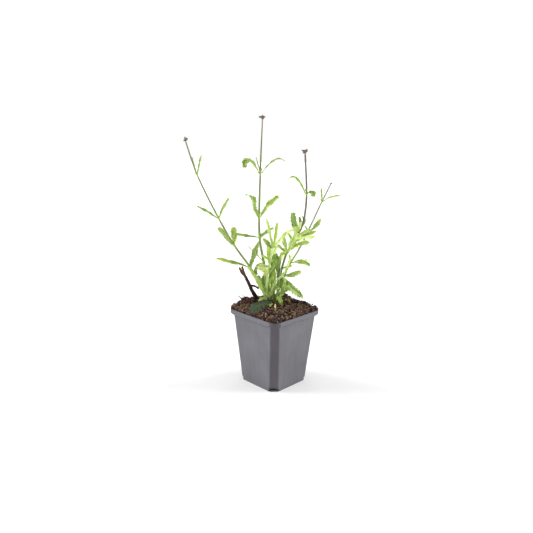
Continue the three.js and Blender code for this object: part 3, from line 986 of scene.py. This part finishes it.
def leaf_points(blade, tone, seed, blunt=BLUNT, ripple=0.08, fold=0.2, foot_tone_and_shade=0.18):
    """Points, faces and values of a leaf: a thin shell with a folded midrib, raised cheeks
    between its veins, and teeth where it is wide."""
    rng = np.random.default_rng(seed)
    knots = lengths(blade.midrib)
    length = knots[-1]
    wide = blade.half.max() * 2
    s = np.linspace(0, length, max(int(length / ROW), 12) + 1)
    share = s / length
    middle = on_curve(blade.midrib, knots, s)
    along = unit(np.gradient(middle, axis=0))
    up = unit(on_curve(blade.face, knots, s))
    up = unit(up - along * np.sum(up * along, axis=1, keepdims=True))
    across = np.cross(up, along)
    width = np.interp(s * (1 - 0.22 * blunt * share), knots, blade.half)
    nose = max(1.6 * blade.half[-1], 0.9 * blunt * width[-1])
    closing = np.clip((s - length + nose) / nose, 0, 0.985)
    width = width * np.sqrt(1 - closing**2)

    here, share, half = s[:, None], share[:, None], width[:, None]
    u = np.linspace(-1, 1, 2 * COLUMNS + 1)[None, :]
    side = np.sign(u)
    x = np.abs(u) * half
    toothed = min(max((wide - 4.2 * MM) / (2.5 * MM), 0), 1)
    grown = np.clip((share - 0.16) / 0.15, 0, 1)
    pitch = max(wide * 0.48, 2.4 * MM) * rng.uniform(0.9, 1.1)
    phase = (here - VEIN_SLANT * x) / pitch + np.where(side > 0, 0.4, 0.0) + rng.uniform()
    saw = phase - np.floor(phase)
    rim = np.abs(u) ** 5
    tooth = toothed * grown * rim * 0.28 * wide * (0.8 + 0.5 * uneven(phase, seed))
    aside = tooth * (saw**1.4 - 0.35)
    ahead = tooth * saw * 0.7 * np.clip((1 - share) / 0.1, 0, 1)

    to_vein = np.abs(phase - np.round(phase)) * pitch
    vein = np.exp(-(to_vein / (0.3 * MM)) ** 2) * grown * (0.35 + 0.65 * toothed)
    rib = np.exp(-(x / (0.4 * MM)) ** 2)
    cheeks = (0.5 - 0.5 * np.cos(2 * math.pi * phase)) * np.sin(math.pi * np.abs(u) ** 0.8)
    height = fold * np.abs(u) ** 1.3 * half
    height = height + toothed * 0.3 * MM * cheeks * np.clip(x / (1.0 * MM), 0, 1) * grown
    height = height - 0.22 * MM * rib * grown
    waves = np.sin(2 * math.pi * here / (wide * 1.5 + 4 * MM) + np.where(side > 0, 1.3, 3.9) + seed)
    height = height + ripple * wide * u**2 * waves * grown
    height = height + 0.014 * length * np.sin(2.4 * math.pi * share + seed) * grown * (1 - share**4)
    stalk = 1 - np.clip(share / 0.22, 0, 1)
    thick = (0.34 * MM + 0.5 * MM * stalk) * (1 - 0.45 * u**2)
    keel = 0.3 * MM * rib * (1 - 0.6 * share)

    base = middle[:, None] + across[:, None] * (side * (x + aside))[..., None]
    base = base + along[:, None] * ahead[..., None]
    top = base + up[:, None] * (height + thick / 2)[..., None]
    under = base + up[:, None] * (height - thick / 2 - keel)[..., None]
    points, faces = tube(np.concatenate([top, under[:, ::-1]], axis=1))
    veins = np.clip(np.maximum(vein * (1 - rim), rib), 0, 1)
    # The foot value makes the stalk paler, or darker where it is negative, which is painted shade.
    tones = tone + 0.12 * (share - 0.5) + 0.1 * np.abs(u) ** 4 + foot_tone_and_shade * stalk
    values = {
        "tone": there_and_back(tones, tones),
        "vein": there_and_back(veins, veins),
        "under": there_and_back(0 * veins, 0 * veins + 1),
    }
    return points, faces, values


def there_and_back(top, under):
    """Values of a leaf's upper and lower side, in the order of its points."""
    return np.concatenate([top, under[:, ::-1]], axis=1).ravel()


def uneven(phase, seed):
    """A steady number from -1 to 1 for each whole step of phase, for teeth that differ."""
    return np.sin(np.floor(phase) * 12.9898 + seed * 4.137) * np.cos(np.floor(phase) * 4.1)


# How pale each leaf is, from dark (0) to pale (1): by its stem, then leaf by leaf.
STEM_TONE = {"centre": 0.45, "left": 0.5, "right": 0.6, "far_right": 0.6, "young": 0.8, "side": 0.5}
CROWN_TONE = 0.35
LEAF_TONE = {
    "centre_foot": 0.4, "centre_middle_right": 0.62, "centre_low_left": 0.38,
    "centre_middle_left": 0.42, "left_foot_left": 0.66, "left_foot_right": 0.35,
    "left_low_right": 0.62, "left_low_left": 0.48, "young_low_front": 0.98,
    "young_tip_front": 0.5, "right_top_right": 0.35, "right_cluster_upright": 0.4,
    "right_cluster_back": 0.9, "right_cluster_front": 0.8, "right_cluster_pale": 1.0,
    "right_low_upright": 0.9, "right_low_back": 0.9, "right_low_front": 0.8,
    "right_foot_left": 0.5, "right_foot_front": 0.7, "side_tip_right": 0.55,
    "side_tip_hanging": 0.45, "far_right_low": 0.65, "far_right_middle": 0.5,
    "crown_left": 0.75, "crown_upright": 0.15, "crown_curled": 0.38,
    "crown_front_left": 0.45, "crown_front_right": 0.5, "crown_back": 0.45,
}
# How bluntly a leaf ends, where it isn't BLUNT.
LEAF_BLUNT = {
    "left_low_left": 0.5, "left_low_right": 0.4, "centre_middle_right": 0.6,
    "right_cluster_upright": 0.5, "right_cluster_back": 0.4, "side_tip_right": 0.4,
    "right_low_front": 0.4, "crown_upright": 0.4, "left_foot_right": 0.1,
    "side_tip_hanging": 0.08,
}
# Leaves that are drawn wider or narrower than the plain solids they stand for, shorter, or
# narrowed towards both ends: the share of the width, of the length, and of the narrowing.
LEAF_TRIM = {
    "centre_foot": (0.8,), "centre_middle_left": (1.25,), "centre_top_left": (1.3,),
    "left_foot_right": (1.15, 1, 0.55), "right_top_left": (0.9,), "right_top_right": (1.5,),
    "far_right_middle": (1.35,), "far_right_low": (1.1, 0.92, 0.3), "young_tip_left": (1.4,),
    "young_tip_right": (1.7,), "young_tip_back": (1.3,), "young_tip_front": (1.15,),
    "side_tip_hanging": (1.3, 1, 0.5), "crown_upright": (0.6,), "crown_left": (0.75,),
    "crown_curled": (0.75,), "crown_front_left": (0.8, 0.6), "crown_front_right": (0.7, 0.7),
    "crown_back_right": (1, 0.5),
}


def leaf_tone(name):
    stem = next((s for s in STEM_TONE if name.startswith(s + "_")), None)
    return LEAF_TONE.get(name, STEM_TONE.get(stem, CROWN_TONE))


def old_blade():
    """The old leaf: from the crown over the soil to the front left."""
    start = over_soil((-2, -7), 5)
    return grown_blade(start, 219, 42 * MM, 15 * MM, 2, 23, roll=-24, sway=18)


def leaf_piece(name, look, slot, blades, seed, replaced=(), **style):
    """One piece made of one or more leaves, each given as its blade and its tone."""
    shape = Shape()
    for i, (blade, tone) in enumerate(blades):
        points, faces, values = leaf_points(blade, tone, seed + i, **style)
        shape.add(points, faces, **values)
    shape.piece(name, look, slot, *replaced)


def leaves():
    for seed, node in enumerate(sorted(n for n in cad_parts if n.startswith("leaf_"))):
        if node == "leaf_old_on_soil":
            name, look, slot = "old_leaf_blade", OLD_LEAF_LOOK, "old_leaf"
            blade, tone = old_blade(), 0.4
            style = {"blunt": 0.15, "ripple": 0.1, "fold": 0.1}
        else:
            name, look, slot = node + "_blade", LEAF_LOOK, "leaf"
            leaf = node[len("leaf_"):]
            blade, tone = attached_blade(node), leaf_tone(leaf)
            blade.trim(*LEAF_TRIM.get(leaf, ()))
            style = {"blunt": LEAF_BLUNT.get(leaf, BLUNT)}
        leaf_piece(name, look, slot, [(blade, tone)], seed, [node], **style)


# Small leaves that sit where a stem's leaves join it, stem by stem:
# height, turn, length, width, rise, droop, tone.
AXIL_LEAVES = [
    ("centre", [
        (278, 190, 20, 2.4, 70, -8, 0.5), (278, 60, 7, 1.8, 55, 10, 0.5),
        (222, 120, 11, 2.8, 62, 15, 0.7), (222, 300, 10, 2.6, 60, 20, 0.7),
        (196, 350, 9, 3.0, 50, 20, 0.55), (161, 185, 32, 2.2, 52, 10, 0.9),
    ]),
    ("left", [
        (278, 60, 7, 1.6, 60, 10, 0.5), (223, 60, 9, 2.0, 55, 15, 0.55),
        (188, 330, 11, 3.0, 68, 15, 0.75), (187, 150, 9, 2.6, 60, 10, 0.6),
        (158, 80, 12, 3.0, 60, 20, 0.6),
    ]),
    ("right", [
        (251, 110, 8, 2.2, 50, 20, 0.45), (214, 195, 11, 1.9, 74, 0, 0.5),
        (206, 150, 15, 4.6, 76, 0, 0.55), (203, 20, 16, 5.0, 66, 5, 0.85),
        (199, 290, 17, 5.6, 70, 5, 0.95), (196, 195, 20, 6.0, 76, 0, 0.85),
        (195, 95, 20, 5.6, 62, 15, 0.7), (192, 345, 22, 5.6, 38, 5, 1.0),
        (191, 262, 19, 6.2, 72, 5, 0.98), (186, 190, 17, 5.4, 66, 10, 0.8),
        (184, 25, 19, 5.8, 36, 15, 0.9), (180, 300, 17, 6.0, 62, 10, 0.9),
        (174, 195, 23, 7.4, -25, 50, 0.97), (173, 20, 20, 5.6, 42, 20, 0.75),
        (170, 240, 17, 5.4, 30, 40, 0.5), (168, 100, 17, 5.4, 45, 30, 0.6),
        (150, 345, 16, 5.0, 35, 25, 0.85), (146, 160, 15, 4.6, 55, 20, 0.65),
    ]),
    ("far_right", [
        (240, 200, 6, 1.5, 55, 10, 0.5), (200, 160, 9, 2.4, 60, 15, 0.6),
        (175, 200, 15, 4.0, 60, 15, 0.85), (157, 345, 25, 2.6, 22, 12, 0.85),
        (159, 120, 11, 2.8, 60, 10, 0.7),
    ]),
    ("young", [
        (186, 120, 12, 3.0, 70, 5, 0.85), (172, 30, 17, 4.4, 58, 10, 0.9),
        (166, 205, 15, 4.6, 50, 25, 0.7), (161, 300, 13, 3.4, 55, 20, 0.75),
        (159, 200, 15, 11, 14, 50, 1.0), (113, 200, 12, 4.5, 45, 110, 0.85),
        (146, 60, 14, 3.8, 58, 20, 0.6), (132, 20, 16, 5.0, 62, 20, 0.6),
    ]),
    ("side", [
        (150, 5, 31, 2.6, 69, 0, 1.0), (149, 25, 20, 3.4, 60, -10, 0.95),
    ]),
    ("young", [
        (148, 330, 18, 6, 60, 10, 0.5),
    ]),
    ("side", [
        (147, 60, 12, 3.2, 40, 10, 0.7), (135, 100, 18, 5.6, 70, 15, 0.55),
        (122, 330, 15, 6.0, 55, 40, 0.6),
    ]),
]


def axil_leaves():
    blades = []
    for name, rows in AXIL_LEAVES:
        stem = STEMS[name]
        for height, turn, length, width, rise, droop, tone in rows:
            start = stem.line[stem.at_height(height * MM)]
            blade = grown_blade(start, turn, length * MM, width * MM, rise, droop)
            blades.append((blade, tone))
    leaf_piece("axil_leaves", LEAF_LOOK, "leaf", blades, 200)


# Leaves that rise from the crown between the longer ones, in the plant's own frame:
# place, turn, length, width, rise, droop, sway, tone.
CROWN_LEAVES = [
    ((-3, 4), 70, 52, 6, 86, 5, 30, 0.6),
    ((-12, 6), 130, 36, 7, 84, 10, -40, 0.25),
    ((-10, 2), 165, 27, 6, 80, 20, 40, 0.5),
    ((-5, -6), 275, 12, 4.5, 50, 90, -40, 0.55),
    ((0, -5), 320, 20, 6, 72, 40, 40, 0.35),
    ((5, 0), 10, 32, 6, 76, 20, -40, 0.7),
    ((7, 5), 50, 30, 7, 70, 30, 30, 0.2),
    ((-1, 5), 110, 40, 6, 82, 15, 50, 0.15),
    ((-7, 3), 95, 30, 7, 78, 30, -30, 0.8),
    ((4, 9), 60, 40, 6.5, 78, 15, -50, 0.4),
    ((-4, 11), 85, 44, 7, 82, 15, 30, 0.1),
    ((-11, 9), 120, 38, 7, 80, 15, -50, 0.45),
    ((-2, 16), 80, 28, 8, 62, 40, -40, 0.35),
    ((-9, 15), 120, 26, 7, 62, 45, 40, 0.5),
    ((6, 13), 45, 24, 7, 60, 40, -40, 0.55),
    ((-9, 0), 215, 24, 5, 82, 20, 40, 0.2),
    ((7, 8), 160, 66, 7, 86, 4, 20, 0.4),
    ((3, 6), 30, 60, 4.5, 88, 2, 0, 0.05),
    ((-3, 10), 90, 64, 7, 87, 2, -20, 0.4),
]


def crown_fill():
    blades = []
    for place, turn, length, width, rise, droop, sway, tone in CROWN_LEAVES:
        size = length * MM, width * MM
        start = over_soil(place, -0.5)
        blades.append((grown_blade(start, turn, *size, rise, droop, sway=sway, waist=2), tone))
    # Each crown leaf is darkened towards its foot at the soil: painted shade where the crowded crown
    # shades itself.
    style = {"ripple": 0.12, "foot_tone_and_shade": -0.35}
    leaf_piece("crown_fill_leaves", LEAF_LOOK, "leaf", blades, 300, **style)


# Dry bits of leaf on the soil round the crown, in the plant's own frame:
# place, height over the soil, turn, length, width, rise, droop, roll, tone.
DRY_LEAVES = [
    ((8, -2), 2.4, 5, 13, 5, 20, 45, -30, 0.45),
    ((13, 2), 1.6, 320, 10, 4, 10, 35, -40, 0.55),
    ((0, -15), 2.2, 275, 13, 4, 8, 20, 60, 0.65),
    ((-3, -12), 2.0, 250, 10, 3, 10, 30, 40, 0.75),
]


def dry_leaves():
    blades = []
    for place, over, turn, length, width, rise, droop, roll, tone in DRY_LEAVES:
        start = over_soil(place, over)
        blade = grown_blade(start, turn, length * MM, width * MM, rise, droop, roll)
        blades.append((blade, tone))
    leaf_piece("dry_leaves", DRY_LEAF_LOOK, "old_leaf", blades, 400, ripple=0.12)


# -------- stems

STEM_ROW = 0.7 * MM
STEM_SIDES = 20
# Each stem is drawn a tenth thicker than in the frame, and its radius by these millimetres more.
STEM_EXTRA = {
    "young": 0.3, "side": 0.3, "far_right": 0.45, "left": 0.22, "right": 0.28, "centre": 0.22,
}
STEM_TAPER = {"centre": 0.36}  # the share by which the top is narrower than that
# How soon each stem turns from green to purple on its way up (0.5 for the rest).
STEM_PURPLE = {"centre": 0.45, "right": 1.3, "far_right": 1.4}


def rib_wave(angle, far):
    """1 on a stem's four ribs and -1 between them; the ribs turn a little on their way up."""
    return np.cos(4 * (angle[None, :] + far[:, None] * 6))


def near_joints(stem, at, reach):
    """1 at the stem's joints, falling to 0 within about the reach."""
    return np.max([np.exp(-((at - spot) / reach) ** 2) for spot in stem.joints], axis=0)


def stems():
    angle = circle(STEM_SIDES)
    for name, stem in STEMS.items():
        length = stem.at[-1]
        at = np.linspace(0, length, int(length / STEM_ROW) + 1)
        line = np.stack([np.interp(at, stem.at, stem.line[:, k]) for k in range(3)], 1)
        radius = np.interp(at, stem.at, stem.radius) * 1.1 + STEM_EXTRA[name] * MM
        radius = radius * (1 - STEM_TAPER.get(name, 0) * (at / length) ** 4)
        swollen = radius * (1 + 0.4 * near_joints(stem, at, 1.5 * MM))
        ribs = 1 + 0.09 * rib_wave(angle, lengths(line))
        points, faces = tube(round_rings(line, swollen, STEM_SIDES, ribs))
        points = points + 0.03 * MM * lumps(points, 1.5 * MM, 2, 2)[:, None]
        purple = (line[:, 2] - SOIL_LEVEL) / 0.2 * STEM_PURPLE.get(name, 0.5)
        shape = Shape()
        shape.add(
            points,
            faces,
            along=np.repeat(purple, STEM_SIDES),
            rib=(0.5 + 0.5 * rib_wave(angle, at)).ravel(),
            joint=np.repeat(near_joints(stem, at, 4 * MM), STEM_SIDES),
        )
        slot = "young_stem" if name in ("young", "side") else "stem"
        shape.piece(f"stem_{name}_ribbed", STEM_LOOKS.get(name, STEM_LOOK), slot, f"stem_{name}")


# -------- bud heads


def bud(length, radius, around=8):
    """A pointed bud along +Z, with five faint folds."""
    angle = circle(around)
    fold = 1 + 0.12 * np.cos(5 * angle + 1)
    rings = []
    for t in np.linspace(0, 1, 8):
        swell = (math.sin(math.pi * (0.12 + 0.8 * t)) ** 0.8) * (1 - 0.45 * t)
        rings.append(polar(radius * swell * fold, angle, t * length))
    return tube(rings)


def pointing(direction, twist=0.0):
    """A 3 by 3 matrix that turns +Z to the direction."""
    turn = Vector((0, 0, 1)).rotation_difference(Vector(direction)).to_matrix()
    return np.array(turn @ Matrix.Rotation(twist, 3, "Z"))


# The clusters that stand out of each head: degrees in the plant's own upright plane, from
# its X towards +Z, degrees back from that plane, and how far the cluster reaches.
HEADS = {
    "centre": [(172, 0, 1.15), (85, 10, 0.75), (20, -10, 0.8), (120, 60, 0.8), (60, -60, 0.8)],
    "left": [(108, 0, 1.1), (8, 0, 0.95), (205, 10, 0.7), (90, 60, 0.8), (60, -65, 0.8)],
    "right": [
        (145, 0, 1.05), (42, 0, 1.05), (212, -10, 0.7), (355, 10, 0.6), (100, 65, 0.8),
        (80, -60, 0.8),
    ],
    "far_right": [(100, 0, 1.0), (200, 30, 0.8), (340, -30, 0.8)],
}
BUDS_IN_CLUSTER = 5


def bud_head(name, clusters, seed):
    """A dry head: clusters of small pointed buds round a knot on the end of the stem."""
    rng = np.random.default_rng(seed)
    stem = STEMS[name]
    tip = stem.line[-1]
    axis = unit(stem.line[-1] - stem.line[-12])
    low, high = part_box("head_" + name)
    reach = (high.x - low.x + high.y - low.y) / 3.3
    middle = tip + axis * reach * 0.85
    shape = Shape()
    core, core_faces = lump_mesh(3)
    core = core * reach * 0.5 * (1 + 0.2 * lumps(core, 0.5, seed)[:, None])
    shape.add(core + middle, core_faces, tone=0.35)
    neck = np.array([tip - axis * 2.5 * MM, tip, tip + axis * reach * 0.6])
    thick = np.array([stem.radius[-1] * 1.1, stem.radius[-1] * 1.5, reach * 0.3])
    points, faces = tube(round_rings(neck, thick, 12))
    shape.add(points, faces, tone=0.85)
    plane = Matrix.Rotation(math.radians(PLANT_TURN), 3, "Z")
    for turn, depth, share in clusters:
        a, b = math.radians(turn), math.radians(depth)
        way = Vector((math.cos(a) * math.cos(b), math.sin(b), math.sin(a) * math.cos(b)))
        way = np.array(plane @ way)
        dark = rng.uniform(0.05, 0.35)
        for i in range(BUDS_IN_CLUSTER):
            lean = unit(way + rng.normal(0, 0.3, 3) * (i > 0))
            length = reach * share * rng.uniform(0.95, 1.3)
            points, faces = bud(length, reach * rng.uniform(0.22, 0.32))
            turned = points @ pointing(lean, rng.uniform(0, 6)).T
            tone = dark + rng.uniform(0, 0.25) + 0.35 * (points[:, 2] / length) ** 2
            shape.add(turned + middle, faces, tone=tone)
    for i in range(6):
        angle = i * GOLDEN + 0.6
        way = pointing(axis) @ np.array([math.cos(angle), math.sin(angle), 0.1])
        points, faces = bud(reach * rng.uniform(0.5, 0.75), reach * 0.11, 6)
        turned = points @ pointing(unit(way), 0).T
        shape.add(turned + tip + axis * reach * 0.35, faces, tone=rng.uniform(0.6, 1.0))
    shape.piece(f"head_{name}_buds", BUD_LOOK, "buds", "head_" + name)


# -------- looks and assembly

GREENS = [(0.0, "#3f5c22"), (0.3, "#6b8b37"), (0.55, "#94af4b"), (0.8, "#c3d666"), (1.0, "#e8f4a6")]
LEAF_LOOK = leaf_look("leaf_green", GREENS, "#d0e28e", "#b3ca7c")
OLD_GREENS = [(0.0, "#1a2418"), (0.5, "#324128"), (1.0, "#586642")]
OLD_LEAF_LOOK = leaf_look("leaf_old_green", OLD_GREENS, "#6b7a56", "#56664a")
DRY = [(0.0, "#6f5a35"), (0.5, "#a89560"), (1.0, "#cfc38c")]
DRY_LEAF_LOOK = leaf_look("leaf_dry_yellow", DRY, "#e0cf92", "#cdbb7d")
STEM_LOOK = stem_look("stem_olive", "#8a9a5c", "#74745c", "#675a64", "#a4bf58")
SHOOT_LOOK = stem_look("stem_shoot", "#cfe39a", "#d4e6a2", "#d8e8ae", "#d8eaa8")
PALE_STEM_LOOK = stem_look("stem_pale", "#c6da8e", "#7f875e", "#7d746c", "#a4bf58")
STEM_LOOKS = {"young": SHOOT_LOOK, "side": SHOOT_LOOK, "far_right": PALE_STEM_LOOK}
SOIL_STOPS = [
    (0.0, "#130b0b"), (0.3, "#3a2824"), (0.55, "#5c443b"), (0.8, "#8d7565"), (1.0, "#c2ac97"),
]
SOIL_LOOK = crumb_look("soil_peat", SOIL_STOPS)
CLOD_STOPS = [(0.0, "#160a0e"), (0.3, "#3a2023"), (0.6, "#63413a"), (1.0, "#a3806a")]
CLOD_LOOK = crumb_look("soil_clod", CLOD_STOPS)
BARK_STOPS = [(0.0, "#150c0f"), (0.35, "#39252a"), (0.65, "#6f5747"), (1.0, "#b5a088")]
BARK_LOOK = crumb_look("soil_bark", BARK_STOPS, 0.8)
FIBRE_STOPS = [(0.0, "#442c22"), (0.5, "#87633f"), (1.0, "#c9a67c")]
FIBRE_LOOK = crumb_look("soil_fibre", FIBRE_STOPS, 0.85)
TWIG_STOPS = [(0.0, "#281815"), (0.4, "#48302b"), (0.75, "#7a564c"), (1.0, "#aa8472")]
TWIG_LOOK = crumb_look("twig_bark", TWIG_STOPS, 0.8, 0.5 * MM, (1, 1, 0.25))
BUD_STOPS = [(0.0, "#3d2f36"), (0.35, "#67565c"), (0.65, "#988981"), (1.0, "#c2b294")]
BUD_LOOK = crumb_look("bud_purple", BUD_STOPS, 0.7, 0.3 * MM)

studio()
pot()
GROUND_TREE = soil_bed()
crumbs()
clods()
chips()
fibres()
sticks()
dead_twig()
leaves()
axil_leaves()
crown_fill()
dry_leaves()
stems()
for head_seed, (head, clusters) in enumerate(HEADS.items()):
    bud_head(head, clusters, head_seed)
